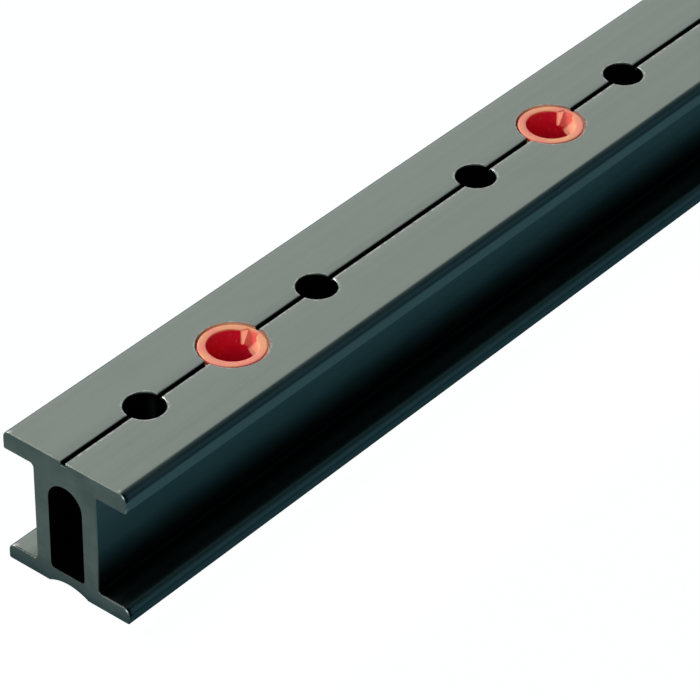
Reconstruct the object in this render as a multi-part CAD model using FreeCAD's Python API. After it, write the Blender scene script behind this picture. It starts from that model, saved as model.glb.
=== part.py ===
import FreeCAD, Part
import math
import os

from FreeCAD import Vector

# A length of hollow I-beam track for a sailing car, with a plastic insert in each fastener hole.
# Millimetres. X runs along the track, Y across it and Z up, and the origin is the middle of the underside.

# Stock
track_length = 595.0
track_width = 31.0
track_height = 31.0

# Section
top_flange_thickness = 4.5
bottom_flange_thickness = 3.7
web_thickness = 3.7
cavity_width = 8.5
crown_thickness = 6.2            # metal over the top of the arched hollow
cavity_floor_thickness = 3.8     # from the underside's flat strips up to the hollow's floor
tip_radius = 1.9                 # upper corners of both flanges
tip_lower_radius = 0.5           # lower corners of both flanges
web_fillet = 0.8                 # where a web meets a flange
cavity_corner_radius = 0.9       # lower corners of the hollow
groove_width = 1.0               # line cut along the middle of the top
groove_depth = 0.75
relief_width = 10.0              # shallow arch along the middle of the underside
relief_depth = 1.3

# Rows of holes along the middle of the top
fastener_pitch = 100.0
fastener_count = 6
stop_pitch = 50.0
stop_offset = 25.0               # from a fastener hole to the stop hole beside it
stop_hole_diameter = 8.3

# Fastener holes: a wide seat, a pocket that ends on ledges in the webs, and a screw hole below
screw_hole_diameter = 6.6
pocket_depth = 12.0

# Plastic insert
rim_diameter = 13.8
rim_thickness = 1.6
rim_below_top = 0.1
sleeve_outer_diameter = 12.3
sleeve_bore_diameter = 10.3
insert_floor_thickness = 1.6
notch_width = 3.6                # pry notch in the sleeve's upper end
notch_length = 3.6
notch_depth = 0.95

# Clearances between the insert and the track
rim_side_clearance = 0.4
rim_under_clearance = 0.1
sleeve_side_clearance = 0.05

cut_overrun = 1.0                # how far a cutting tool runs past the face that it enters


def corner_arc(before, corner, after, radius):
    """The start, middle and end of the arc of this radius that rounds a corner between two points."""
    to_before = (before - corner).normalize()
    to_after = (after - corner).normalize()
    half_angle = to_before.getAngle(to_after) / 2
    start = corner + to_before * (radius / math.tan(half_angle))
    end = corner + to_after * (radius / math.tan(half_angle))
    inwards = (to_before + to_after).normalize()
    middle = corner + inwards * (radius / math.sin(half_angle) - radius)
    return start, middle, end


def rounded_face(corners):
    """A face inside straight runs joined by arcs, from a loop of (point, corner radius)."""
    arcs = []
    for i, (corner, radius) in enumerate(corners):
        before = corners[i - 1][0]
        after = corners[(i + 1) % len(corners)][0]
        arcs.append(corner_arc(before, corner, after, radius))
    edges = []
    for i, (start, middle, end) in enumerate(arcs):
        previous_end = arcs[i - 1][2]
        if previous_end.distanceToPoint(start) > 1e-6:
            edges.append(Part.makeLine(previous_end, start))
        edges.append(Part.Arc(start, middle, end).toShape())
    return Part.Face(Part.Wire(edges))


def cross_point(y, z):
    """A point of the cross-section, at the track's -X end."""
    return Vector(-track_length / 2, y, z)


def beam_face():
    """The I outline: two flanges with rounded tips, and the outer faces of the webs."""
    side = track_width / 2
    web_face = cavity_width / 2 + web_thickness
    top_underside = track_height - top_flange_thickness
    right_side = [
        (side, 0.0, tip_lower_radius),
        (side, bottom_flange_thickness, tip_radius),
        (web_face, bottom_flange_thickness, web_fillet),
        (web_face, top_underside, web_fillet),
        (side, top_underside, tip_lower_radius),
        (side, track_height, tip_radius),
    ]
    left_side = [(-y, z, radius) for y, z, radius in reversed(right_side)]
    return rounded_face([(cross_point(y, z), radius) for y, z, radius in right_side + left_side])


def cavity_face():
    """The hollow between the webs: a flat floor, straight sides and a half-round top."""
    half = cavity_width / 2
    crown = track_height - crown_thickness
    floor = cavity_floor_thickness
    return rounded_face([
        (cross_point(half, floor), cavity_corner_radius),
        (cross_point(half, crown), half),
        (cross_point(-half, crown), half),
        (cross_point(-half, floor), cavity_corner_radius),
    ])


def groove_face():
    """The line along the top, square in section."""
    half = groove_width / 2
    bottom = track_height - groove_depth
    above = track_height + cut_overrun
    loop = [
        cross_point(-half, above),
        cross_point(half, above),
        cross_point(half, bottom),
        cross_point(-half, bottom),
    ]
    return Part.Face(Part.makePolygon(loop + loop[:1]))


def relief_face():
    """The shallow arch under the track, as the disc whose top enters the underside."""
    radius = (relief_width ** 2 / 4 + relief_depth ** 2) / (2 * relief_depth)
    circle = Part.Circle(cross_point(0, relief_depth - radius), Vector(1, 0, 0), radius)
    return Part.Face(Part.Wire([circle.toShape()]))


def along_track(face):
    """A face of the cross-section carried the whole length of the track."""
    return face.extrude(Vector(track_length, 0, 0))


def fastener_stations():
    """Places of the fastener holes along X, centred on the track's length."""
    first = -fastener_pitch * (fastener_count - 1) / 2
    return [first + fastener_pitch * i for i in range(fastener_count)]


def stop_stations():
    """Places of the stop holes along X, evenly spaced from the one before the first fastener hole."""
    first = fastener_stations()[0] - stop_offset
    last = fastener_stations()[-1] + stop_offset
    count = int(round((last - first) / stop_pitch)) + 1
    return [first + stop_pitch * i for i in range(count)]


def stop_drill(x):
    """A drilling from the top through the crown, down to where the hollow's sides are straight."""
    depth = crown_thickness + cavity_width / 2
    above = Vector(x, 0, track_height + cut_overrun)
    return Part.makeCylinder(stop_hole_diameter / 2, depth + cut_overrun, above, Vector(0, 0, -1))


def fastener_cutter(x):
    """The seat for the rim, the pocket for the sleeve and the screw hole through the bottom wall."""
    seat_radius = rim_diameter / 2 + rim_side_clearance
    seat_depth = rim_below_top + rim_thickness + rim_under_clearance
    pocket_radius = sleeve_outer_diameter / 2 + sleeve_side_clearance
    above = Vector(x, 0, track_height + cut_overrun)
    down = Vector(0, 0, -1)
    seat = Part.makeCylinder(seat_radius, seat_depth + cut_overrun, above, down)
    pocket = Part.makeCylinder(pocket_radius, pocket_depth + cut_overrun, above, down)
    screw_hole = Part.makeCylinder(screw_hole_diameter / 2, cavity_floor_thickness + 2 * cut_overrun,
                                   Vector(x, 0, -cut_overrun), Vector(0, 0, 1))
    return seat.fuse([pocket, screw_hole])


def make_track():
    """The extruded beam with its groove, hollow and relief, then every drilled hole."""
    beam = along_track(beam_face())
    beam = beam.cut([along_track(cavity_face()), along_track(groove_face()), along_track(relief_face())])
    drillings = [stop_drill(x) for x in stop_stations()]
    drillings += [fastener_cutter(x) for x in fastener_stations()]
    return beam.cut(drillings)


def insert_outline():
    """Half of the insert's section in the XZ plane: a flat rim, a sleeve and a floor with a screw hole."""
    rim_radius = rim_diameter / 2
    sleeve_radius = sleeve_outer_diameter / 2
    bore_radius = sleeve_bore_diameter / 2
    screw_radius = screw_hole_diameter / 2
    top = track_height - rim_below_top
    rim_underside = top - rim_thickness
    bottom = track_height - pocket_depth
    floor_top = bottom + insert_floor_thickness
    loop = [
        Vector(rim_radius, 0, top),
        Vector(rim_radius, 0, rim_underside),
        Vector(sleeve_radius, 0, rim_underside),
        Vector(sleeve_radius, 0, bottom),
        Vector(screw_radius, 0, bottom),
        Vector(screw_radius, 0, floor_top),
        Vector(bore_radius, 0, floor_top),
        Vector(bore_radius, 0, top),
    ]
    return Part.Face(Part.makePolygon(loop + loop[:1]))


def notch_cutter():
    """A wedge that opens the bore towards +X at the top and runs out on the bore wall below."""
    top = track_height - rim_below_top
    wall = sleeve_bore_diameter / 2
    slope = notch_depth / notch_length
    back = -notch_width / 2
    outline = [
        Vector(0, back, top + cut_overrun),
        Vector(wall + notch_depth + slope * cut_overrun, back, top + cut_overrun),
        Vector(wall, back, top - notch_length),
        Vector(0, back, top - notch_length),
    ]
    wedge = Part.Face(Part.makePolygon(outline + outline[:1]))
    return wedge.extrude(Vector(0, notch_width, 0))


def make_insert():
    """One insert, turned about its own axis at X = 0, with its pry notch cut out."""
    turned = insert_outline().revolve(Vector(0, 0, 0), Vector(0, 0, 1), 360)
    return turned.cut(notch_cutter())


def main():
    os.makedirs("parts", exist_ok=True)
    make_track().exportStep("parts/i_beam_track.step")
    insert = make_insert()
    for number, x in enumerate(fastener_stations(), start=1):
        placed = insert.translated(Vector(x, 0, 0))
        placed.exportStep("parts/fastener_insert_%02d.step" % number)


main()
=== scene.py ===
"""Looks for a length of hollow I-beam sail track with plastic inserts in its screw holes.

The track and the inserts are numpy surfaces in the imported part's own frame. They are worked out in
millimetres and put into the meshes in metres. X runs along the track, Y across it and Z up. The
photograph was taken from beyond the track's -X end, from its -Y side and from above.
"""

import bmesh
import bpy
import numpy as np
from mathutils import Matrix, Vector
from mathutils.geometry import tessellate_polygon


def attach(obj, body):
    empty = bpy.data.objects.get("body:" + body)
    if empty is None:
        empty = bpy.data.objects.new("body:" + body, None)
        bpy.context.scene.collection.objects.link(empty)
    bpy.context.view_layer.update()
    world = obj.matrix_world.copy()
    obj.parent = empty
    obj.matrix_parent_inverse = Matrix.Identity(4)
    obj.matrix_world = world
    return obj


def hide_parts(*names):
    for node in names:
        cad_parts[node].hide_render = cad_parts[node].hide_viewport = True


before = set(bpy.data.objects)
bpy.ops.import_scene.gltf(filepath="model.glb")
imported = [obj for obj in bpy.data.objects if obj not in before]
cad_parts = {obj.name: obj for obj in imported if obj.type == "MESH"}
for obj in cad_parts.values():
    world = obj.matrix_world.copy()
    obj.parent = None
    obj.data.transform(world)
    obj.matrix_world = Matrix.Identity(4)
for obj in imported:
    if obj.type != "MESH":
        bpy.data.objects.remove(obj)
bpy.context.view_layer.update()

MM = 0.001
WELD = 2e-6                          # metres within which doubled points are merged
TOUCH = 0.01                         # millimetres within which a point counts as on a face
MARGIN = 0.05                        # how far a marked place reaches past the face that bounds it

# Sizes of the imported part
HALF_LENGTH = 297.5
HALF_WIDTH = 15.5
HEIGHT = 31.0
TOP_FLANGE_UNDER = 26.5
BOTTOM_FLANGE = 3.7
WEB_FACE = 7.95
HOLLOW_HALF = 4.25
HOLLOW_FLOOR = 3.8
HOLLOW_CORNER = 0.9
SPRING = 20.55                       # height at which the hollow's sides turn into its arch
TIP_ROUND = 1.9
TIP_LOWER_ROUND = 0.5
WEB_FILLET = 0.8
GROOVE_HALF = 0.5
GROOVE_FLOOR = 30.25
RELIEF_HALF = 5.0
RELIEF_DEPTH = 1.3
STOP_RADIUS = 4.15
SEAT_RADIUS = 7.3
SEAT_FLOOR = 29.2
POCKET_RADIUS = 6.2
POCKET_FLOOR = 19.0
SCREW_RADIUS = 3.3
STOPS = np.arange(-275.0, 276.0, 50.0)
FASTENERS = np.arange(-250.0, 251.0, 100.0)

# Edge breaks that the solids leave sharp
LIP_WIDTH = 0.40                     # the groove's lips slope gently into it
LIP_DROP = 0.13
STOP_BREAK = (0.22, 0.22)            # across and down
SEAT_BREAK = (0.03, 0.14)
END_BREAK = (0.20, 0.08)             # round the outline and round the hollow

# How finely the surfaces are cut
CELL_HALF = 12.5                     # a cell round each hole is 25 mm long
CELL_STEPS = 16
CHORD_STEPS = 10                     # of a screw cell's steps, those between the ledges' ends
BESIDE_STEPS = (CELL_STEPS - CHORD_STEPS) // 2   # and those on each side of them
PLAIN_STEPS = 4
END_STEPS = 3
FLAT_STEPS = 8                       # from the groove to the flange's corner
SIDE_STEPS = 2 * FLAT_STEPS + 1      # across a cell's end
RING = 2 * (SIDE_STEPS + CELL_STEPS)
RADIAL_STEPS = 5
RADIAL_EASE = 1.25                   # above one, the rings crowd towards the hole
TIP_STEPS = 8
CORNER_STEPS = 4
FILLET_STEPS = 5
TRACK_SHARP = 35                     # degrees past which an edge stays sharp
MITRE_LIMIT = 0.4                    # keeps a very sharp corner's mitre from running far out


def spread(start, end, steps):
    """Evenly spaced values: start plus the step's share of the way to the end."""
    return start + (end - start) * np.arange(steps + 1) / steps


# Patches

class Shell:
    """Gathers patches of points and faces, and welds them into one mesh."""

    def __init__(self):
        self.points = []
        self.faces = []
        self.count = 0

    def grid(self, points):
        """Adds a grid of points, rows by columns, with a four-sided face between each four."""
        rows, columns = points.shape[:2]
        index = self.count + np.arange(rows * columns).reshape(rows, columns)
        quads = np.stack([index[:-1, :-1], index[1:, :-1], index[1:, 1:], index[:-1, 1:]], -1)
        self.points.append(points.reshape(-1, 3))
        self.faces.extend(map(tuple, quads.reshape(-1, 4).tolist()))
        self.count += rows * columns

    def triangles(self, points, index):
        """Adds loose triangles between the points."""
        self.points.append(points)
        self.faces.extend(tuple(self.count + i for i in face) for face in index)
        self.count += len(points)

    def polygon(self, points):
        """Adds one flat face round the points."""
        self.triangles(points, [range(len(points))])

    def mesh(self, name, sharp_degrees):
        """Welds the patches, turns their faces outwards and marks the edges that stay sharp."""
        mesh = bpy.data.meshes.new(name)
        mesh.from_pydata((np.concatenate(self.points) * MM).tolist(), [], self.faces)
        work = bmesh.new()
        work.from_mesh(mesh)
        bmesh.ops.remove_doubles(work, verts=work.verts, dist=WELD)
        bmesh.ops.dissolve_degenerate(work, edges=work.edges, dist=WELD)
        bmesh.ops.recalc_face_normals(work, faces=work.faces)
        work.to_mesh(mesh)
        work.free()
        mesh.shade_smooth()
        mesh.set_sharp_from_angle(angle=np.radians(sharp_degrees))
        return mesh


def arc(centre_y, centre_z, radius, start, end, steps):
    """Points of a circle's arc in the section: centre plus radius times cosine and sine of the angle."""
    angle = np.radians(spread(start, end, steps))
    return np.stack([centre_y + radius * np.cos(angle), centre_z + radius * np.sin(angle)], -1)


def side_profile():
    """One side of the section, from the top flat round both flanges to the relief's edge, as (y, z)."""
    tip_y = HALF_WIDTH - TIP_ROUND
    low_y = HALF_WIDTH - TIP_LOWER_ROUND
    fillet_y = WEB_FACE + WEB_FILLET
    return np.concatenate([
        arc(tip_y, HEIGHT - TIP_ROUND, TIP_ROUND, 90, 0, TIP_STEPS),
        arc(low_y, TOP_FLANGE_UNDER + TIP_LOWER_ROUND, TIP_LOWER_ROUND, 0, -90, CORNER_STEPS),
        arc(fillet_y, TOP_FLANGE_UNDER - WEB_FILLET, WEB_FILLET, 90, 180, FILLET_STEPS),
        arc(fillet_y, BOTTOM_FLANGE + WEB_FILLET, WEB_FILLET, 180, 270, FILLET_STEPS),
        arc(tip_y, BOTTOM_FLANGE - TIP_ROUND, TIP_ROUND, 90, 0, TIP_STEPS),
        arc(low_y, TIP_LOWER_ROUND, TIP_LOWER_ROUND, 0, -90, CORNER_STEPS),
        np.array([[RELIEF_HALF, 0.0]]),
    ])


def relief_height(y):
    """Height of the arch under the track: its disc's centre height plus the circle's rise at y."""
    radius = (RELIEF_HALF ** 2 + RELIEF_DEPTH ** 2) / (2 * RELIEF_DEPTH)
    return RELIEF_DEPTH - radius + np.sqrt(radius ** 2 - y ** 2)


def arch_height(y):
    """Height of the hollow's half-round top at y."""
    return SPRING + np.sqrt(np.maximum(HOLLOW_HALF ** 2 - y ** 2, 0))


def top_height(y):
    """Height of the track's flat top."""
    return HEIGHT + 0 * y


def floor_height(y):
    """Height of the hollow's flat floor."""
    return HOLLOW_FLOOR + 0 * y


def both_sides(inner, outer):
    """Even steps from inner to outer on each side of the groove, with one step over it."""
    right = spread(inner, outer, FLAT_STEPS)
    return np.concatenate([-right[::-1], right])


LIP = GROOVE_HALF + LIP_WIDTH
TOP_Y = both_sides(LIP, HALF_WIDTH - TIP_ROUND)
TOP_HALF = len(TOP_Y) // 2           # of those, the ones on each side of the groove
RELIEF_Y = spread(-RELIEF_HALF, RELIEF_HALF, SIDE_STEPS)
FLOOR_Y = spread(-(HOLLOW_HALF - HOLLOW_CORNER), HOLLOW_HALF - HOLLOW_CORNER, SIDE_STEPS)
ARCH_ANGLE = spread(-np.pi / 2, np.pi / 2, SIDE_STEPS)
EVEN_SHARES = spread(0, 1, RADIAL_STEPS)
CROWDED_SHARES = EVEN_SHARES ** RADIAL_EASE


def stations(kind, centre):
    """X values along one cell. A screw cell's steps change where its ledges begin and end."""
    if kind == "screw":
        ledge = np.sqrt(POCKET_RADIUS ** 2 - HOLLOW_HALF ** 2)
        before = spread(-CELL_HALF, -ledge, BESIDE_STEPS)[:-1]
        after = spread(ledge, CELL_HALF, BESIDE_STEPS)[1:]
        return centre + np.concatenate([before, spread(-ledge, ledge, CHORD_STEPS), after])
    steps = CELL_STEPS if kind == "stop" else PLAIN_STEPS
    return centre + spread(-CELL_HALF, CELL_HALF, steps)


def frame_path(xs, across):
    """The loop round a cell in plan: up its +X end, back along +Y, down its -X end, along -Y."""
    first, last = across[0], across[-1]
    return np.concatenate([
        np.stack([np.full(SIDE_STEPS, xs[-1]), across[:-1]], -1),
        np.stack([xs[:0:-1], np.full(CELL_STEPS, last)], -1),
        np.stack([np.full(SIDE_STEPS, xs[0]), across[:0:-1]], -1),
        np.stack([xs[:-1], np.full(CELL_STEPS, first)], -1),
    ])


def ring_angles(end_angles):
    """Angles round a hole in the same order as frame_path, from the angles across its +X side."""
    limit = end_angles[-1]
    side = spread(limit, np.pi - limit, CELL_STEPS)
    return np.concatenate([end_angles[:-1], side[:-1], np.pi + end_angles[:-1], np.pi + side[:-1]])


def even_angles():
    """Angles for a hole that no groove crosses."""
    return ring_angles(spread(-np.pi / 4, np.pi / 4, SIDE_STEPS))


def groove_angles(radius, lip):
    """Angles for a hole crossed by the groove: one step from lip to lip on each side."""
    return ring_angles(both_sides(np.arcsin(lip / radius), np.pi / 4))


def circle(centre, radius, angles, z):
    """Points round a hole: the centre plus radius times cosine and sine, at height z."""
    return np.stack([centre + radius * np.cos(angles), radius * np.sin(angles), z + 0 * angles], -1)


def closed_rows(rows):
    """A stack of loops, each with its first point repeated."""
    return np.concatenate([rows, rows[:, :1]], axis=1)


def lines_between(first, last, shares):
    """Lines of points from a first to a last one: each point goes straight across by the line's share."""
    share = shares[:, None, None]
    return first[None] * (1 - share) + last[None] * share


def rings_between(inner, outer, shares):
    """The same for closed loops."""
    return closed_rows(lines_between(inner, outer, shares))


def with_heights(plan, height):
    """Plan points (x, y) given a height by a function of y."""
    return np.concatenate([plan, height(plan[..., 1:2])], -1)


def at_height(loop, z):
    """A copy of a loop at another height, or with a height for each of its points."""
    moved = loop.copy()
    moved[:, 2] = z
    return moved


def lathe_rows(centre, rows):
    """Rows of a hole's wall, one for each (radius, angles, z)."""
    return closed_rows(np.stack([circle(centre, radius, angles, z) for radius, angles, z in rows]))


# The track

def mouth_rows(radius, edge_break):
    """The rings of a hole's mouth down to the groove's floor, as (radius, half the groove's gap, height)."""
    across, down = edge_break
    return [
        (radius + across, LIP, HEIGHT),
        (radius + across * (1 - LIP_DROP / down), GROOVE_HALF, HEIGHT - LIP_DROP),
        (radius, GROOVE_HALF, HEIGHT - down),
        (radius, GROOVE_HALF, GROOVE_FLOOR),
    ]


def both_walls(points):
    """The groove's points down one wall, and then those up the other."""
    return np.array(points + [(x, -y, z) for x, y, z in reversed(points)], dtype=float)


def groove_section(rows, side):
    """The groove's end at a hole: each ring's point at half the gap, by Pythagoras from its radius."""
    return both_walls([(side * np.sqrt(radius ** 2 - gap ** 2), gap, z) for radius, gap, z in rows])


def plain_groove_section():
    """The groove's own section, with as many points as its end at a hole."""
    return both_walls([(0, LIP, HEIGHT), (0, GROOVE_HALF, HEIGHT - LIP_DROP),
                       (0, GROOVE_HALF, HEIGHT - STOP_BREAK[1]), (0, GROOVE_HALF, GROOVE_FLOOR)])


def pierced_top(shell, centre, xs, rows):
    """The top round one hole: flat rings out to the cell's edge, the hole's mouth, and the groove."""
    radius, gap, z = rows[0]
    inner = circle(centre, radius, groove_angles(radius, gap), z)[:, :2]
    loops = rings_between(inner, frame_path(xs, TOP_Y), CROWDED_SHARES)
    flat = with_heights(loops, top_height)
    wall = lathe_rows(centre, [(radius, groove_angles(radius, gap), z) for radius, gap, z in rows])
    for sheet in (flat, wall):
        for first, last in hole_spans():
            shell.grid(sheet[:, first:last + 1])
    for side in (1, -1):
        start = groove_section(rows, side) + (centre, 0, 0)
        end = plain_groove_section() + (centre + side * CELL_HALF, 0, 0)
        shell.grid(lines_between(start, end, CROWDED_SHARES))
    return wall[-1, :-1]


def hole_spans():
    """The runs of ring points between the two places where the groove leaves a hole."""
    half = RING // 2
    first_gap, second_gap = FLAT_STEPS, half + FLAT_STEPS
    return [(0, first_gap), (first_gap + 1, second_gap), (second_gap + 1, RING)]


def plain_top(shell, xs):
    """The top between holes: two flat strips and the groove, swept along the stations."""
    flat = np.stack(np.broadcast_arrays(xs[:, None], TOP_Y[None], HEIGHT), -1).astype(float)
    shell.grid(flat[:, :TOP_HALF])
    shell.grid(flat[:, TOP_HALF:])
    shell.grid(plain_groove_section()[None] + np.stack([xs, 0 * xs, 0 * xs], -1)[:, None])


def swept(xs, profile):
    """A profile of (y, z) carried along the stations."""
    points = np.empty((len(xs), len(profile), 3))
    points[..., 0] = xs[:, None]
    points[..., 1:] = profile[None]
    return points


def mirrored(profile):
    """A (y, z) profile reflected to the other side."""
    return profile * (-1, 1)


def arch_profile():
    """The hollow's top above the ledges' height, as (y, z): a side, the arch and the other side."""
    side = np.array([[HOLLOW_HALF, POCKET_FLOOR]])
    over = np.stack([HOLLOW_HALF * np.sin(-ARCH_ANGLE), SPRING + HOLLOW_HALF * np.cos(ARCH_ANGLE)], -1)
    return np.concatenate([side, over, mirrored(side)])


def lower_profile():
    """One side of the hollow below the ledges' height, down to the flat of its floor, as (y, z)."""
    corner_y = HOLLOW_HALF - HOLLOW_CORNER
    corner = arc(corner_y, HOLLOW_FLOOR + HOLLOW_CORNER, HOLLOW_CORNER, 0, -90, CORNER_STEPS)
    return np.concatenate([np.array([[HOLLOW_HALF, POCKET_FLOOR]]), corner])


def pierced_plate(shell, centre, xs, across, radius, height):
    """A plate in plan, given its height by y, with a round hole through it."""
    inner = circle(centre, radius, even_angles(), 0.0)[:, :2]
    loops = rings_between(inner, frame_path(xs, across), EVEN_SHARES)
    shell.grid(with_heights(loops, height))


def plain_plate(shell, xs, across, height):
    """The same plate with no hole."""
    plan = np.stack(np.broadcast_arrays(xs[:, None], across[None]), -1).astype(float)
    shell.grid(with_heights(plan, height))


def stop_cell(shell, centre, xs):
    """A stop hole: its wall goes down to the arch, and the arch is cut back round it."""
    rim = pierced_top(shell, centre, xs, mouth_rows(STOP_RADIUS, STOP_BREAK))
    foot = at_height(rim, arch_height(rim[:, 1]))
    shell.grid(closed_rows(np.stack([rim, foot])))
    angle = np.arcsin(np.clip(foot[:, 1] / HOLLOW_HALF, -1, 1))
    inner = np.stack([foot[:, 0], angle], -1)
    loops = rings_between(inner, frame_path(xs, ARCH_ANGLE), EVEN_SHARES)
    x, turn = loops[..., 0], loops[..., 1]
    shell.grid(np.stack([x, HOLLOW_HALF * np.sin(turn), SPRING + HOLLOW_HALF * np.cos(turn)], -1))
    for profile in (arch_profile()[:2], arch_profile()[-2:]):
        shell.grid(swept(xs, profile))


def pocket_ledge(shell, upper, xs):
    """A web's face inside the pocket, and the flat ledge under it: from the pocket's arc to its chord."""
    ledge = at_height(upper, POCKET_FLOOR)
    shell.grid(np.stack([upper, ledge]))
    side = np.sign(ledge[CELL_STEPS // 2, 1])
    chord = xs[BESIDE_STEPS:BESIDE_STEPS + CHORD_STEPS + 1]
    inside = (chord if side > 0 else chord[::-1])[1:-1]
    edge = np.broadcast_to([0, side * HOLLOW_HALF, POCKET_FLOOR], (len(inside), 3)).copy()
    edge[:, 0] = inside
    shell.polygon(np.concatenate([ledge, edge]))


def arch_up_to_pocket(shell, centre, side):
    """The hollow's top from a cell's end up to the pocket, whose wall is at the root of its radius squared
    less y squared."""
    profile = arch_profile()
    reach = np.sqrt(POCKET_RADIUS ** 2 - profile[:, 0] ** 2)
    share = spread(0, 1, BESIDE_STEPS)[:, None]
    x = centre + side * (CELL_HALF * (1 - share) + reach[None] * share)
    shell.grid(np.concatenate([x[..., None], np.broadcast_to(profile, x.shape + (2,))], -1))


def screw_cell(shell, centre, xs):
    """A fastener hole: a seat, a pocket that ends on two ledges, and a screw hole through the floor."""
    rim = pierced_top(shell, centre, xs, mouth_rows(SEAT_RADIUS, SEAT_BREAK))
    end_angles = np.arcsin(HOLLOW_HALF * np.sin(ARCH_ANGLE) / POCKET_RADIUS)
    pocket = circle(centre, POCKET_RADIUS, ring_angles(end_angles), SEAT_FLOOR)
    shell.grid(closed_rows(np.stack([rim, at_height(rim, SEAT_FLOOR), pocket])))
    over_arch = np.abs(pocket[:, 1]) <= HOLLOW_HALF + 1e-9
    foot = at_height(pocket, np.where(over_arch, arch_height(pocket[:, 1]), SPRING))
    shell.grid(closed_rows(np.stack([pocket, foot])))
    for first in (SIDE_STEPS, RING // 2 + SIDE_STEPS):
        columns = np.arange(first, first + CELL_STEPS + 1) % RING
        pocket_ledge(shell, foot[columns], xs)
    for side in (1, -1):
        arch_up_to_pocket(shell, centre, side)
    pierced_plate(shell, centre, xs, FLOOR_Y, SCREW_RADIUS, floor_height)
    pierced_plate(shell, centre, xs, RELIEF_Y, SCREW_RADIUS, relief_height)
    top = circle(centre, SCREW_RADIUS, even_angles(), HOLLOW_FLOOR)
    shell.grid(closed_rows(np.stack([top, at_height(top, relief_height(top[:, 1]))])))


def end_loops():
    """The section's outline and its hollow as loops of (y, z), with the metal on their right-hand side."""
    side = side_profile()
    relief = np.stack([RELIEF_Y, relief_height(RELIEF_Y)], -1)
    groove = plain_groove_section()[:, 1:]
    top = np.stack([TOP_Y, top_height(TOP_Y)], -1)
    left_top, right_top = top[:TOP_HALF], top[TOP_HALF:]
    outline = np.concatenate([right_top[:-1], side[:-1], relief[::-1][:-1], mirrored(side)[::-1][:-1],
                              left_top[:-1], groove[::-1][:-1]])
    lower = lower_profile()
    floor = np.stack([FLOOR_Y, np.full(SIDE_STEPS + 1, HOLLOW_FLOOR)], -1)
    hollow = np.concatenate([arch_profile()[:-1], mirrored(lower)[:-1], floor[:-1], lower[::-1][:-1]])
    return outline, hollow


def offset(loop, distance):
    """A loop moved to its right: each point goes along its corner's mitre, so that both of the corner's
    sides move by the distance."""
    before = loop - np.roll(loop, 1, axis=0)
    after = np.roll(loop, -1, axis=0) - loop
    before /= np.linalg.norm(before, axis=1, keepdims=True)
    after /= np.linalg.norm(after, axis=1, keepdims=True)
    first = np.stack([before[:, 1], -before[:, 0]], -1)
    second = np.stack([after[:, 1], -after[:, 0]], -1)
    mitre = first + second
    return loop + distance * mitre / np.maximum((mitre * first).sum(1, keepdims=True), MITRE_LIMIT)


def end_cap(shell, end):
    """A sawn end: the flat face between the outline and the hollow, with a small break along both. Both
    breaks go equally far back along X, and the hollow's goes less far across."""
    face_x = end * HALF_LENGTH
    rings = []
    for loop, across in zip(end_loops(), END_BREAK):
        inner = offset(loop, across)
        rows = np.empty((2, len(loop), 3))
        rows[0, :, 0], rows[1, :, 0] = face_x - end * END_BREAK[0], face_x
        rows[0, :, 1:], rows[1, :, 1:] = loop, inner
        shell.grid(closed_rows(rows))
        rings.append(rows[1])
    index = tessellate_polygon([[Vector((0, p[1], p[2])) for p in ring] for ring in rings])
    shell.triangles(np.concatenate(rings), index)


def track_mesh():
    """The whole track: cells along X with the same points along their shared edges, and two ends."""
    shell = Shell()
    cells = [("stop", x) for x in STOPS] + [("screw", x) for x in FASTENERS]
    pierced = {x for kind, x in cells}
    centres = np.arange(STOPS[0], STOPS[-1] + 1, 2 * CELL_HALF)
    cells += [("plain", x) for x in centres if x not in pierced]
    runs = [(kind, x, stations(kind, x)) for kind, x in cells]
    last_cell_end = STOPS[-1] + CELL_HALF
    for end in (-1, 1):
        xs = spread(end * (HALF_LENGTH - END_BREAK[0]), end * last_cell_end, END_STEPS)
        runs.append(("plain", 0, xs))
        end_cap(shell, end)
    side, lower = side_profile(), lower_profile()
    for kind, centre, xs in runs:
        for profile in (side, mirrored(side), lower, mirrored(lower)):
            shell.grid(swept(xs, profile))
        if kind == "screw":
            screw_cell(shell, centre, xs)
            continue
        plain_plate(shell, xs, FLOOR_Y, floor_height)
        plain_plate(shell, xs, RELIEF_Y, relief_height)
        if kind == "stop":
            stop_cell(shell, centre, xs)
            continue
        plain_top(shell, xs)
        shell.grid(swept(xs, arch_profile()))
    return shell.mesh("extruded_track", TRACK_SHARP)


def point_places(mesh):
    """The mesh's points in millimetres, one row each."""
    places = np.zeros(len(mesh.vertices) * 3)
    mesh.vertices.foreach_get("co", places)
    return places.reshape(-1, 3) / MM


def mark(mesh, name, values):
    """Keeps one number for each point, for the material to read."""
    mesh.attributes.new(name, "FLOAT", "POINT").data.foreach_set("value", values)


def mark_seats(mesh):
    """Marks the walls and floors of the seats, which are cut through the anodised skin."""
    x, y, z = point_places(mesh).T
    from_axis = np.abs(x[:, None] - FASTENERS[None]).min(1)
    within = np.hypot(from_axis, y) < SEAT_RADIUS + SEAT_BREAK[0] + TOUCH
    seat = within & (z < HEIGHT - MARGIN) & (z > SEAT_FLOOR - MARGIN)
    mark(mesh, "bare_seat", seat.astype(float))


WORN_BACK = 0.3                      # how far from a sawn end its edges' wear is kept to the tips
WORN_DOWN = 0.4                      # how far below the top an edge still counts as one of its edges
LIP_HIGHLIGHT = 0.9                       # share of painted highlight on the groove's -Y lip


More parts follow.
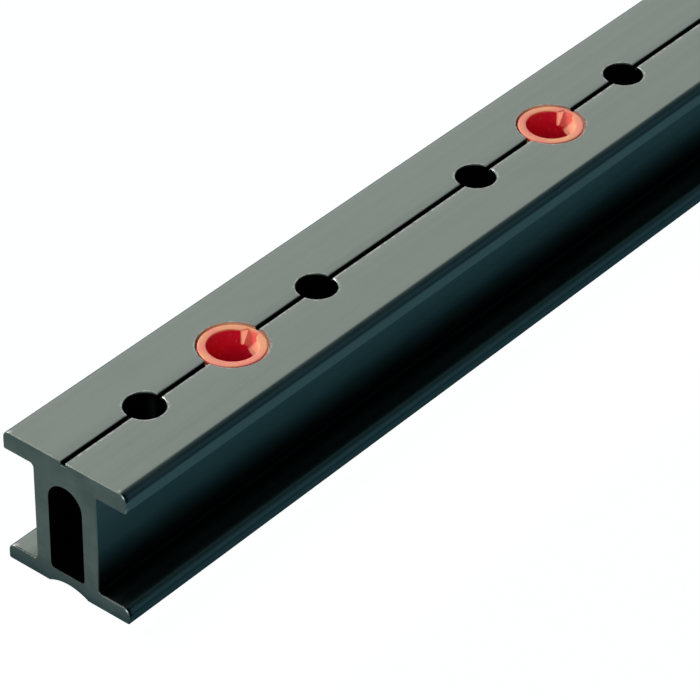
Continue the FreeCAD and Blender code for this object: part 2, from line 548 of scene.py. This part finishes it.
def mark_wear_and_lip_highlight(mesh):
    """Marks the points of sharp edges along the top and at the sawn ends' flange tips, for the material's
    wear, and those of the groove's -Y lip, for a painted highlight."""
    sharp = np.zeros(len(mesh.edges), bool)
    mesh.attributes["sharp_edge"].data.foreach_get("value", sharp)
    ends = np.zeros(len(mesh.edges) * 2, np.int32)
    mesh.edges.foreach_get("vertices", ends)
    x, y, z = point_places(mesh).T
    worn = np.zeros(len(mesh.vertices))
    worn[ends.reshape(-1, 2)[sharp].ravel()] = 1
    at_end = np.abs(x) > HALF_LENGTH - WORN_BACK
    at_tip = np.abs(y) > HALF_WIDTH - TIP_ROUND
    worn[(at_end & ~at_tip) | (~at_end & (z < HEIGHT - WORN_DOWN))] = 0
    worn[(np.abs(y + LIP) < 2 * TOUCH) & (z > HEIGHT - TOUCH)] = LIP_HIGHLIGHT
    mark(mesh, "worn_edge_and_lip_highlight", worn)


# The inserts

RIM_RADIUS = 6.9
RIM_TOP = 30.9
RIM_UNDER = 29.3
SLEEVE_RADIUS = 6.15
SLEEVE_BOTTOM = 19.0
BORE_RADIUS = 5.15
BORE_FLOOR = 20.6
NOTCH_HALF = 1.8
NOTCH_LENGTH = 3.6
NOTCH_FLOOR = RIM_TOP - NOTCH_LENGTH
NOTCH_DEPTH = 0.95
NOTCH_FLARE = 0.3                    # share by which the notch is narrower at its back
RIM_OUTER_ROUND = 0.35
RIM_INNER_ROUND = 0.15
RIM_INNER_STEPS = 5
RIM_OUTER_STEPS = 6
BORE_STEPS = 14                      # below the notch's floor, and the same above it
NOTCH_COLUMNS = 19
WALL_COLUMNS = 72
INSERT_SHARP = 32                    # degrees past which an edge stays sharp


def insert_profile():
    """Half of the insert's section as (radius, height), from the screw hole up the bore, over the rim and
    down the sleeve. Two of its points stand at the height of the notch's floor."""
    inner_z, outer_z = RIM_TOP - RIM_INNER_ROUND, RIM_TOP - RIM_OUTER_ROUND
    inner = arc(BORE_RADIUS + RIM_INNER_ROUND, inner_z, RIM_INNER_ROUND, 180, 90, RIM_INNER_STEPS)
    outer = arc(RIM_RADIUS - RIM_OUTER_ROUND, outer_z, RIM_OUTER_ROUND, 90, 0, RIM_OUTER_STEPS)
    wall = np.concatenate([spread(BORE_FLOOR, NOTCH_FLOOR, BORE_STEPS),
                           spread(NOTCH_FLOOR, inner[0, 1], BORE_STEPS)[:-1]])
    return np.concatenate([
        [[SCREW_RADIUS, SLEEVE_BOTTOM], [SCREW_RADIUS, BORE_FLOOR]],
        np.stack([np.full(len(wall), BORE_RADIUS), wall], -1),
        inner, [[RIM_RADIUS - 2 * RIM_OUTER_ROUND, RIM_TOP]], outer,
        [[RIM_RADIUS, RIM_UNDER], [SLEEVE_RADIUS, RIM_UNDER], [SLEEVE_RADIUS, SLEEVE_BOTTOM]],
    ])


def notch_taper(x):
    """The notch's width at x from the insert's axis, as a share of its full one: it falls evenly outwards."""
    return 1 - NOTCH_FLARE * (x - BORE_RADIUS) / NOTCH_DEPTH


def insert_mesh(name, centre):
    """An insert turned about its axis: each (radius, height) of the profile goes round as radius times
    cosine and sine. In the notch's columns the bore's wall moves out to a sloping plane instead, from the
    second point at the height of the notch's floor upwards."""
    profile = insert_profile()
    across = spread(-NOTCH_HALF, NOTCH_HALF, NOTCH_COLUMNS - 1)
    corner = np.arcsin(NOTCH_HALF / BORE_RADIUS)
    notch = np.arctan2(across, BORE_RADIUS + NOTCH_DEPTH)
    angles = np.concatenate([notch, spread(corner, 2 * np.pi - corner, WALL_COLUMNS)])
    rows = np.empty((len(profile), len(angles), 3))
    rows[..., 0] = profile[:, :1] * np.cos(angles)
    rows[..., 1] = profile[:, :1] * np.sin(angles)
    rows[..., 2] = profile[:, 1:]
    on_bore = profile[:, 0] < BORE_RADIUS + RIM_INNER_ROUND + TOUCH
    cut = on_bore & (profile[:, 1] >= NOTCH_FLOOR - 1e-6)
    cut[np.flatnonzero(cut)[0]] = False
    back = BORE_RADIUS + NOTCH_DEPTH / NOTCH_LENGTH * (profile[cut, 1] - NOTCH_FLOOR)
    rows[cut, :NOTCH_COLUMNS, 0] = back[:, None]
    rows[cut, :NOTCH_COLUMNS, 1] = across[None] * notch_taper(back)[:, None]
    rows[..., 0] += centre
    shell = Shell()
    shell.grid(np.concatenate([closed_rows(rows), closed_rows(rows[:1])]))
    mesh = shell.mesh(name, INSERT_SHARP)
    mark_painted_light_and_glow(mesh, centre)
    return mesh


SKIN = 0.15                          # depth of the rim's top that is painted pale as lit
EDGE = 0.1                           # how near to a wall or a corner a point counts as on it
NEARLY = 0.95                        # share of a half width or radius from which a point is at its end
LIT_WALL_LINE = ((0.9, 1.55, 4.2, 5.05, 5.8),      # depths of the edge of the wall's painted lit part, and its y at each
               (-1.75, -1.2, 0.7, -0.4, -1.2))
LIT_WALL_FADES = (0.25, 0.5, 1.5)      # millimetres in which it fades out across, downwards and towards -Y
# shares of painted lit pale and of painted glow in the notch, and of painted glow on the lit wall
NOTCH_PALE = 0.50
NOTCH_GLOW = 0.10
LIT_WALL_GLOW = 0.8
BORE_EDGE_SHADE = 0.35               # most that the bore's upper edge deepens, on its +Y side
RIM_SIDE_SHADE = 0.45                # most that the rim's side deepens, towards the track's near end
RIM_SIDE_REACH = 1.6                 # radius over the distance from the axis at which it is that deep
RIM_SIDE_SKIN = 0.08
RIM_SIDE_GLOW = (0.45, 0.9)          # painted glow on the rim's side: its middle value, and how much it rises towards +X
DIAGONAL = (0.77, 0.64)              # direction in plan, away from the near end's -Y corner


def mark_painted_light_and_glow(mesh, centre):
    """Marks where the plastic is painted paler as lit and where it is painted to glow: the rim, the notch,
    the notch's +Y cheek, and the wall on its -Y side as far as a slanting line; it also marks painted shade
    on the bore's upper edge and on the rim's side. The line starts at the notch's -Y top corner, crosses
    under its floor and turns back, and its y at each depth is read between given points."""
    x, y, z = point_places(mesh).T
    x = x - centre
    reach = np.hypot(x, y)
    depth = RIM_TOP - z
    away = DIAGONAL[0] * x + DIAGONAL[1] * y
    aside = DIAGONAL[0] * y - DIAGONAL[1] * x

    rim = (depth < SKIN) | ((reach > RIM_RADIUS - EDGE) & (z > RIM_UNDER + EDGE))
    rim_side = (reach > RIM_RADIUS - RIM_SIDE_SKIN) & (z > RIM_UNDER - TOUCH)
    bore_edge = rim & (reach < BORE_RADIUS + RIM_INNER_ROUND + TOUCH)
    in_bore = (x > 0) & (reach > BORE_RADIUS - EDGE) & (reach < RIM_RADIUS - 2 * RIM_OUTER_ROUND)
    above_floor = in_bore & (depth < NOTCH_LENGTH - EDGE)
    in_notch = above_floor & (x > BORE_RADIUS + 2 * TOUCH)
    cheek = above_floor & (np.abs(y - NOTCH_HALF) < EDGE)
    cheek |= in_notch & (y > NEARLY * NOTCH_HALF * notch_taper(x))

    # the wall beside the notch, painted as lit up to the slanting line
    line_depths, line_y = LIT_WALL_LINE
    across, down, outwards = LIT_WALL_FADES
    lit_wall = np.clip((np.interp(depth, line_depths, line_y) - y) / across, 0, 1)
    lit_wall *= np.clip((line_depths[-1] - depth) / down, 0, 1)
    lit_wall *= np.clip((y + NEARLY * BORE_RADIUS) / outwards, 0, 1)
    lit_wall *= in_bore

    # painted light: pale for the lit rim, notch, cheek and wall, with painted shade on the bore's edge and
    # the rim's side
    pale = np.maximum(NOTCH_PALE * in_notch, lit_wall)
    pale[rim | cheek] = 1
    pale[bore_edge] = 1 - BORE_EDGE_SHADE * np.clip(aside / BORE_RADIUS, 0, 1)[bore_edge]
    pale[rim_side] = 1 - RIM_SIDE_SHADE * np.clip(-RIM_SIDE_REACH * away / RIM_RADIUS, 0, 1)[rim_side]
    glow = np.maximum(NOTCH_GLOW * in_notch, LIT_WALL_GLOW * lit_wall)
    glow[cheek] = 1
    glow[rim] = 0
    middle, rise = RIM_SIDE_GLOW
    outermost = rim_side & (reach > RIM_RADIUS - TOUCH)
    glow[outermost] = np.clip(middle + rise * x / RIM_RADIUS, 0, 1)[outermost]
    mark(mesh, "painted_glow_share", glow)
    mark(mesh, "painted_lit_pale", pale)


# Finishes

class Nodes:
    """A node tree, and short ways to add and join its nodes."""

    def __init__(self, tree):
        self.tree = tree

    def feed(self, socket, source):
        """Gives a socket another node's output or a plain value."""
        if isinstance(source, bpy.types.NodeSocket):
            self.tree.links.new(source, socket)
        else:
            socket.default_value = source

    def node(self, kind, links=(), **values):
        """Adds a node. Values are its properties; links are (socket, output or plain value) pairs."""
        node = self.tree.nodes.new(kind)
        for name, value in values.items():
            setattr(node, name, value)
        for socket, source in links:
            self.feed(node.inputs[socket], source)
        return node

    def place(self, kind="Object"):
        """Coordinates, which are the piece's own unless another kind is named."""
        return self.node("ShaderNodeTexCoord").outputs[kind]

    def axes(self, kind="Object"):
        """The same coordinates as three outputs, named X, Y and Z."""
        return self.node("ShaderNodeSeparateXYZ", [("Vector", self.place(kind))]).outputs

    def attribute(self, name):
        """A number that the mesh keeps for each point."""
        return self.node("ShaderNodeAttribute", attribute_name=name).outputs["Fac"]

    def noise(self, scale, detail, stretch=(1, 1, 1), turn=(0, 0, 0)):
        """Noise on the piece's own coordinates, stretched along its axes. Scales are in waves per metre."""
        mapped = self.node("ShaderNodeMapping",
                           [("Vector", self.place()), ("Scale", stretch), ("Rotation", turn)])
        return self.node("ShaderNodeTexNoise", [("Vector", mapped.outputs["Vector"]), ("Scale", scale),
                                                ("Detail", detail), ("Roughness", 0.6)]).outputs["Fac"]

    def between(self, value, low, high, start=0.0, end=1.0, **kind):
        """The value's place between low and high, as a number from start to end."""
        links = [("Value", value), ("From Min", low), ("From Max", high), ("To Min", start), ("To Max", end)]
        return self.node("ShaderNodeMapRange", links, **kind).outputs["Result"]

    def mix(self, share, first, second):
        """A colour between two, by the share."""
        return self.node("ShaderNodeMix", [(0, share), (6, first), (7, second)], data_type="RGBA").outputs[2]

    def maths(self, operation, *values):
        """A sum of one or more values, taken two at a time."""
        result = values[0]
        for value in values[1:]:
            result = self.node("ShaderNodeMath", [(0, result), (1, value)], operation=operation).outputs[0]
        return result

    def product(self, *values):
        """The values multiplied together."""
        return self.maths("MULTIPLY", *values)

    def total(self, *values):
        """The values added together."""
        return self.maths("ADD", *values)

    def rest_of(self, share):
        """One less the share."""
        return self.maths("SUBTRACT", 1.0, share)

    def size_of(self, value):
        """The value without its sign."""
        return self.maths("ABSOLUTE", value, 0.0)


class Finish(Nodes):
    """A material. Its places on a piece are given in millimetres, for coordinates that are in metres."""

    def __init__(self, name, **values):
        self.material = bpy.data.materials.new(name)
        self.material.use_nodes = True
        super().__init__(self.material.node_tree)
        self.shader = self.tree.nodes["Principled BSDF"]
        self.join(**values)

    def join(self, **sources):
        """Gives the shader's sockets their outputs or plain values."""
        for socket, source in sources.items():
            self.feed(self.shader.inputs[socket.replace("_", " ")], source)

    def over(self, place, limit):
        """One past the limit, and none before it."""
        return self.maths("GREATER_THAN", place, limit * MM)

    def under(self, place, limit):
        """One before the limit, and none past it."""
        return self.maths("LESS_THAN", place, limit * MM)

    def fade(self, place, low, high, start=0.0, end=1.0):
        """A number that goes from start at the low place to end at the high one."""
        return self.between(place, low * MM, high * MM, start, end)

    def bump(self, height, depth, under=None):
        """A bump of this depth in metres, over another one."""
        links = [("Height", height), ("Distance", depth), ("Strength", 1.0)]
        if under is not None:
            links.append(("Normal", under))
        return self.node("ShaderNodeBump", links).outputs["Normal"]


# Colours of the track: its skin from dark to pale, then where it is sawn, worn or given a painted highlight,
# burnished with painted sheen on the tips' round and their steep side, cut, and its painted shade
SKIN_DARK = (0.190, 0.220, 0.200, 1)
SKIN_PALE = (0.232, 0.262, 0.238, 1)
SAWN_METAL = (0.270, 0.300, 0.270, 1)
WORN_AND_HIGHLIGHT_METAL = (0.52, 0.53, 0.50, 1)
BURNISH_AND_SHEEN = (0.34, 0.41, 0.40, 1)
STEEP_BURNISH_AND_SHEEN = (0.19, 0.22, 0.21, 1)
CUT_METAL = (0.62, 0.56, 0.50, 1)
PAINTED_SHADE_METAL = (0.014, 0.017, 0.017, 1)


# Where the track's finish, its painted sheen and its painted shade change, in millimetres, and how far they
# do
TIP_IN = (1.15, 0.75)                # from the flange's side: where the burnish and its painted sheen start and where they are full
TIP_SIDE_IN = (0.45, 0.1)            # and where it turns into the darker painted sheen of the steep side
TIP_END_BACK = (1.3, 0.5)            # from the sawn end: where the tips' painted shade starts and is full
TIP_END_SHADE = 0.9
MOUTH_DOWN = 0.18                    # from the top to where the holes' walls are painted in shade
LIP_IN = (0.06, 0.08)                # from the +Y lip's two edges, between which its painted shade fades
LIP_DOWN = 0.2                       # deeper than the lip goes
CORNER_OUT = (0.9, 3.5)              # from the web: where the corner's painted shade fades
CORNER_UP = (0.8, 10.0)              # from the bottom flange: the same
CORNER_FAR_SHADE = 0.4                # its share on the +Y side
FOOT_UP = (0.35, 0.85)               # from the underside: where its edge's painted shade fades
FOOT_SHADE = 0.75
LOW_BREAK_UP = 0.9                   # from the bottom flange, past the webs' fillets
LOW_BREAK_SHADE = 0.7


class TrackFinish(Finish):
    """The anodised material, with the places on the track that its colours read."""

    def __init__(self):
        super().__init__("anodised_aluminium", Metallic=1.0)
        axes = self.axes()
        self.side = axes["Y"]
        self.height = axes["Z"]
        self.along = self.size_of(axes["X"])
        self.across = self.size_of(self.side)
        self.drawn = self.under(self.along, HALF_LENGTH - MARGIN)
        self.sawn = self.rest_of(self.drawn)
        self.before_break = self.under(self.along, HALF_LENGTH - END_BREAK[0] - TOUCH)
        self.cut = self.attribute("bare_seat")

    def tips(self):
        """One on the steep part of the round along the flanges' upper corners, which handling burnishes, and
        where a paler colour also paints the sheen that the round catches.
        """
        far_out = self.fade(self.across, HALF_WIDTH - TIP_IN[0], HALF_WIDTH - TIP_IN[1])
        top_tip = self.over(self.height, HEIGHT - TIP_ROUND)
        under_face = self.under(self.height, BOTTOM_FLANGE + 2 * MARGIN)
        over_side = self.over(self.height, BOTTOM_FLANGE - TIP_ROUND)
        either = self.total(top_tip, self.product(under_face, over_side))
        return self.product(far_out, either, self.drawn)

    def insides(self):
        """One on the hollow's walls, in the stop holes and in the groove: painted shade in these recesses."""
        near_middle = self.under(self.across, HOLLOW_HALF + 2 * MARGIN)
        over_floor = self.over(self.height, HOLLOW_FLOOR - MARGIN)
        under_top = self.under(self.height, HEIGHT - MOUTH_DOWN)
        return self.product(near_middle, over_floor, under_top, self.rest_of(self.cut))

    def far_lip(self):
        """One on the lower part of the groove's +Y lip, fading out further up: painted shade that widens the
        dark groove on that side.
        """
        over_lip = self.fade(self.side, GROOVE_HALF + LIP_IN[0], LIP - LIP_IN[1], 1.0, 0.0)
        past_wall = self.over(self.side, GROOVE_HALF - MARGIN)
        at_top = self.over(self.height, HEIGHT - LIP_DOWN)
        return self.product(over_lip, past_wall, at_top)

    def corners(self):
        """One in the corners between the webs and the bottom flange, fading out over the next few
        millimetres, and less on the +Y side: painted shade in the corners."""
        beside = self.fade(self.across, WEB_FACE + CORNER_OUT[0], WEB_FACE + CORNER_OUT[1], 1.0, 0.0)
        above = self.fade(self.height, BOTTOM_FLANGE + CORNER_UP[0], BOTTOM_FLANGE + CORNER_UP[1], 1.0, 0.0)
        over_flange = self.over(self.height, BOTTOM_FLANGE - MARGIN)
        by_side = self.fade(self.side, -1.0, 1.0, 1.0, CORNER_FAR_SHADE)
        return self.product(beside, above, over_flange, by_side)

    def tip_ends(self, tips):
        """Nearly one on the tips' last millimetre before the break of the sawn end: painted shade."""
        start, full = TIP_END_BACK
        near_end = self.fade(self.along, HALF_LENGTH - start, HALF_LENGTH - full, 0.0, TIP_END_SHADE)
        return self.product(near_end, self.before_break, tips)

    def feet(self):
        """Most of one along the bottom flange's lowest edge, fading out over half a millimetre: painted shade
        near the floor.
        """
        low = self.fade(self.height, FOOT_UP[0], FOOT_UP[1], FOOT_SHADE, 0.0)
        return self.product(low, self.over(self.across, HALF_WIDTH - TIP_LOWER_ROUND))

    def low_break(self):
        """Most of one on the sawn end's break along the bottom flange, but not at its tips: painted shade
        over the break's highlight.
        """
        low = self.under(self.height, BOTTOM_FLANGE + LOW_BREAK_UP)
        between_tips = self.under(self.across, HALF_WIDTH - TIP_ROUND + 4 * MARGIN)
        return self.product(self.rest_of(self.before_break), LOW_BREAK_SHADE, low, between_tips)


def anodised_finish():
    """Hard-anodised extrusion: die lines along its length, soft mottling, a fine grain, saw marks on its
    ends, thin pale wear along its top edges, a painted highlight on the groove's -Y lip, painted sheen on
    the burnished tips and painted shade in its recesses, corners and on some edges."""
    finish = TrackFinish()
    die_lines = finish.noise(1.0, 4.0, stretch=(3.0, 620.0, 620.0))
    bands = finish.noise(1.0, 2.0, stretch=(1.5, 130.0, 130.0))
    mottling = finish.noise(140.0, 3.0, stretch=(0.5, 1.0, 1.0))
    grain = finish.noise(5200.0, 2.0)
    saw_lines = finish.noise(1.0, 2.0, stretch=(0.0, 40.0, 950.0), turn=(0.16, 0, 0))
    patches = finish.noise(900.0, 3.0)

    tone = finish.total(finish.product(die_lines, 0.35), finish.product(bands, 0.35),
                        finish.product(mottling, 0.30))
    colour = finish.mix(finish.product(finish.drawn, finish.between(tone, 0.38, 0.62)), SKIN_DARK, SKIN_PALE)
    streaks = finish.total(finish.between(mottling, 0.35, 0.65, 0.0, 0.8),
                           finish.between(saw_lines, 0.35, 0.65, 0.0, 0.2))
    colour = finish.mix(finish.product(finish.sawn, streaks), colour, SAWN_METAL)
    # pale wear on the top's sharp edges and on the tips at the sawn ends, and a painted highlight on the
    # groove's -Y lip
    worn = finish.product(finish.between(finish.attribute("worn_edge_and_lip_highlight"), 0.72, 0.97),
                          finish.between(patches, 0.42, 0.60), finish.drawn)
    colour = finish.mix(finish.product(worn, 0.75), colour, WORN_AND_HIGHLIGHT_METAL)
    # burnished tips, whose paler colour also paints the sheen on their round, darker on the steep side
    tips = finish.tips()
    steep = finish.fade(finish.across, HALF_WIDTH - TIP_SIDE_IN[0], HALF_WIDTH - TIP_SIDE_IN[1])
    colour = finish.mix(tips, colour, finish.mix(steep, BURNISH_AND_SHEEN, STEEP_BURNISH_AND_SHEEN))
    colour = finish.mix(finish.cut, colour, CUT_METAL)
    # painted shade: near black in the hollow, the holes and the groove, on the groove's +Y lip, in the web
    # corners, on the tips by the sawn ends, along the feet and on the low end break
    painted_shade = finish.maths("MAXIMUM", finish.insides(), finish.corners(), finish.far_lip(),
                        finish.tip_ends(tips), finish.feet(), finish.low_break())
    colour = finish.mix(finish.product(painted_shade, finish.drawn), colour, PAINTED_SHADE_METAL)

    roughness = finish.total(finish.between(die_lines, 0.35, 0.65, 0.29, 0.34),
                             finish.between(mottling, 0.35, 0.65, -0.02, 0.03),
                             finish.product(finish.sawn, 0.10))
    normal = finish.bump(grain, 3e-6)
    normal = finish.bump(finish.product(die_lines, finish.drawn), 3e-6, normal)
    normal = finish.bump(finish.product(saw_lines, finish.sawn), 6e-6, normal)
    finish.join(Base_Color=colour, Roughness=roughness, Normal=normal)
    return finish.material


# Colours of the plastic: in the bore, painted shade further down it, painted pale where lit, in scuffs, and
# its painted glow
BORE_RED = (0.80, 0.010, 0.046, 1)
BORE_CLOUD = (0.86, 0.016, 0.056, 1)
BORE_SHADE_RED = (0.72, 0.022, 0.110, 1)
PAINTED_LIT_PINK = (0.98, 0.27, 0.19, 1)
PAINTED_LIT_ORANGE = (0.93, 0.37, 0.18, 1)
SCUFFED = (0.95, 0.45, 0.32, 1)
PAINTED_GLOW = (0.34, 0.22, 0.15, 1)
BLACK = (0, 0, 0, 1)


def insert_finish():
    """Moulded plastic: deep red in the bore with painted shade further down, painted pale where the rim,
    the notch and the wall beside it are lit, with faint clouding, a fine mould texture and light scuffs.
    A painted glow beside the notch and on the rim's side."""
    finish = Finish("insert_plastic", IOR=1.5, Subsurface_Weight=0.3, Subsurface_Radius=(1.0, 0.22, 0.12),
                    Subsurface_Scale=0.0010, Emission_Strength=1.0)
    clouding = finish.noise(380.0, 3.0)
    texture = finish.noise(4200.0, 2.0)
    scuffs = finish.noise(1.0, 4.0, stretch=(900.0, 3600.0, 900.0), turn=(0, 0, 0.6))
    tint = finish.noise(170.0, 1.0)

    deep = finish.mix(finish.between(clouding, 0.38, 0.62), BORE_RED, BORE_CLOUD)
    # painted shade: the bore darker and bluer further down
    below = finish.fade(finish.axes()["Z"], RIM_TOP - 4.0, RIM_TOP - 9.0)
    deep = finish.mix(below, deep, BORE_SHADE_RED)
    light = finish.mix(finish.between(tint, 0.40, 0.60), PAINTED_LIT_PINK, PAINTED_LIT_ORANGE)
    # the rim, the notch and the wall beside it painted pale as lit
    colour = finish.mix(finish.attribute("painted_lit_pale"), deep, light)
    colour = finish.mix(finish.between(scuffs, 0.60, 0.72, 0.0, 0.30), colour, SCUFFED)
    roughness = finish.total(finish.between(texture, 0.35, 0.65, 0.30, 0.40),
                             finish.between(scuffs, 0.58, 0.72, 0.0, 0.15))
    # painted glow beside the notch and on the rim's side
    glow = finish.mix(finish.attribute("painted_glow_share"), BLACK, PAINTED_GLOW)
    normal = finish.bump(texture, 8e-6)
    finish.join(Base_Color=colour, Roughness=roughness, Normal=normal, Emission_Color=glow)
    return finish.material


def floor_finish():
    """A pale studio floor, lit mostly from itself so that only a faint shadow shows."""
    finish = Finish("studio_floor", Base_Color=(0.35, 0.35, 0.35, 1), Roughness=0.9, Specular_IOR_Level=0.0,
                    Emission_Color=(1, 1, 1, 1), Emission_Strength=0.98)
    return finish.material


# Colours that the track mirrors from below, from beside it outwards and from its near end outwards
UNDER_TRACK = (0.045, 0.112, 0.140, 1)
BESIDE_TRACK = (0.008, 0.048, 0.070, 1)
FURTHER_OUT = (0.140, 0.290, 0.345, 1)
FURTHEST_OUT = (0.025, 0.060, 0.075, 1)
PAST_END = (0.28, 0.36, 0.365, 1)
WELL_PAST_END = (0.18, 0.26, 0.28, 1)


def under_light_finish():
    """What the track's sides mirror from below: dark teal beside the track, a painted shadow of the track,
    paler further out and past its near end."""
    finish = Finish("under_light", Base_Color=BLACK, Roughness=1.0, Specular_IOR_Level=0.0,
                    Emission_Strength=1.0)
    axes = finish.axes()
    colour = finish.mix(finish.fade(axes["Y"], -16.5, -19.5), UNDER_TRACK, BESIDE_TRACK)
    colour = finish.mix(finish.fade(axes["Y"], -19.5, -40.0), colour, FURTHER_OUT)
    colour = finish.mix(finish.fade(axes["Y"], -46.0, -60.0), colour, FURTHEST_OUT)
    colour = finish.mix(finish.fade(axes["X"], -HALF_LENGTH, -HALF_LENGTH - 6.0), colour, PAST_END)
    far_out = finish.fade(axes["X"], -HALF_LENGTH - 12.0, -HALF_LENGTH - 32.0)
    finish.join(Emission_Color=finish.mix(far_out, colour, WELL_PAST_END))
    return finish.material


# Studio

# Colours of the surroundings
PAST_NEAR_END = (0.14, 0.15, 0.16, 1)
ALONGSIDE = (0.002, 0.008, 0.010, 1)
LOW_TEAL = (0.045, 0.105, 0.130, 1)
MIDDLE_TEAL = (0.060, 0.125, 0.150, 1)
BRIGHT_BACK = (1.08, 1.08, 1.07, 1)


def sky():
    """Soft studio surroundings. The side towards +Y is bright and the middle a dim teal. The side towards
    -Y is teal low down, and higher up it goes from grey past the near end to almost black along the track."""
    world = bpy.data.worlds.new("studio")
    world.use_nodes = True
    nodes = Nodes(world.node_tree)
    axes = nodes.axes("Generated")

    def blend(axis, low, high, first, second):
        """The first colour below low on the axis, the second above high, and a smooth change between."""
        share = nodes.between(axes[axis], low, high, interpolation_type="SMOOTHSTEP")
        return nodes.mix(share, first, second)

    front = blend("X", -0.35, 0.25, PAST_NEAR_END, ALONGSIDE)
    front = blend("Z", 0.0, 0.7, LOW_TEAL, front)
    middle = blend("Y", -0.50, 0.05, front, MIDDLE_TEAL)
    around = blend("Y", 0.12, 0.40, middle, BRIGHT_BACK)
    nodes.feed(nodes.tree.nodes["Background"].inputs["Color"], around)
    bpy.context.scene.world = world


VIEW_TARGET = Vector((-0.220725, -0.005002, 0.015428))
VIEW_AZIMUTH = np.radians(-50.410)
VIEW_ELEVATION = np.radians(36.909)
VIEW_ROLL = np.radians(0.467)
VIEW_DISTANCE = 0.7923
FOCAL_SHARE = 4004.7 / 700           # focal length over the picture's width
SENSOR_WIDTH = 36.0
NEAREST, FURTHEST = 0.05, 200.0      # metres from the camera that it sees
LIGHT_DISTANCE = 1.3
FLOOR_REACH = 40.0


def softbox(name, towards, size, power, mirrored_by_metal):
    """A square area light in the given direction from the middle of the view, facing it."""
    data = bpy.data.lights.new(name, "AREA")
    data.shape = "SQUARE"
    data.size = size
    data.energy = power
    light = bpy.data.objects.new(name, data)
    direction = Vector(towards).normalized()
    light.location = VIEW_TARGET + direction * LIGHT_DISTANCE
    light.rotation_euler = direction.to_track_quat("Z", "Y").to_euler()
    light.visible_glossy = mirrored_by_metal
    bpy.context.scene.collection.objects.link(light)


def camera():
    """The photograph's view, from its azimuth and elevation, turned a little about its own axis."""
    data = bpy.data.cameras.new("camera")
    data.sensor_width = SENSOR_WIDTH
    data.lens = SENSOR_WIDTH * FOCAL_SHARE
    data.clip_start = NEAREST
    data.clip_end = FURTHEST
    back = Vector((np.sin(VIEW_AZIMUTH) * np.cos(VIEW_ELEVATION),
                   -np.cos(VIEW_AZIMUTH) * np.cos(VIEW_ELEVATION), np.sin(VIEW_ELEVATION)))
    right = Vector((0, 0, 1)).cross(back).normalized()
    up = back.cross(right)
    cosine, sine = np.cos(VIEW_ROLL), np.sin(VIEW_ROLL)
    turned_right = cosine * right + sine * up
    turned_up = cosine * up - sine * right
    view = bpy.data.objects.new("camera", data)
    turn = Matrix((turned_right, turned_up, back)).transposed()
    view.matrix_world = Matrix.Translation(VIEW_TARGET + back * VIEW_DISTANCE) @ turn.to_4x4()
    bpy.context.scene.collection.objects.link(view)
    bpy.context.scene.camera = view


def plane(name, finish, hidden_from):
    """A wide flat plane at the floor's height, hidden from some kinds of light path."""
    reach = FLOOR_REACH
    corners = [(-reach, -reach, 0), (reach, -reach, 0), (reach, reach, 0), (-reach, reach, 0)]
    mesh = bpy.data.meshes.new(name)
    mesh.from_pydata(corners, [], [(0, 1, 2, 3)])
    mesh.materials.append(finish)
    piece = bpy.data.objects.new(name, mesh)
    for path in hidden_from:
        setattr(piece, "visible_" + path, False)
    bpy.context.scene.collection.objects.link(piece)


def floors():
    """The pale floor that the camera sees, and the dimmer one that the track mirrors."""
    plane("floor", floor_finish(), ("glossy", "diffuse", "transmission", "shadow"))
    plane("under_light", under_light_finish(), ("camera",))


# Putting it together

def add_piece(mesh, finish, node):
    """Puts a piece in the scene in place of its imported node."""
    mesh.materials.append(finish)
    piece = bpy.data.objects.new(mesh.name, mesh)
    bpy.context.scene.collection.objects.link(piece)
    even = piece.modifiers.new("even_shading", "WEIGHTED_NORMAL")
    even.keep_sharp = True
    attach(piece, "root")
    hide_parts(node)


camera()
bpy.context.scene.view_settings.view_transform = "Standard"
sky()
softbox("plastic_light", (-0.36, 0.80, 0.50), 0.20, 9.0, mirrored_by_metal=False)
softbox("left_light", (-0.38, 0.80, 0.46), 0.18, 3.0, mirrored_by_metal=True)
softbox("front_light", (-0.78, -0.48, 0.39), 0.70, 3.0, mirrored_by_metal=True)
floors()

track = track_mesh()
mark_wear_and_lip_highlight(track)
mark_seats(track)
add_piece(track, anodised_finish(), "i_beam_track")
plastic = insert_finish()
for number, x in enumerate(FASTENERS, start=1):
    mesh = insert_mesh("moulded_insert_%02d" % number, x)
    add_piece(mesh, plastic, "fastener_insert_%02d" % number)
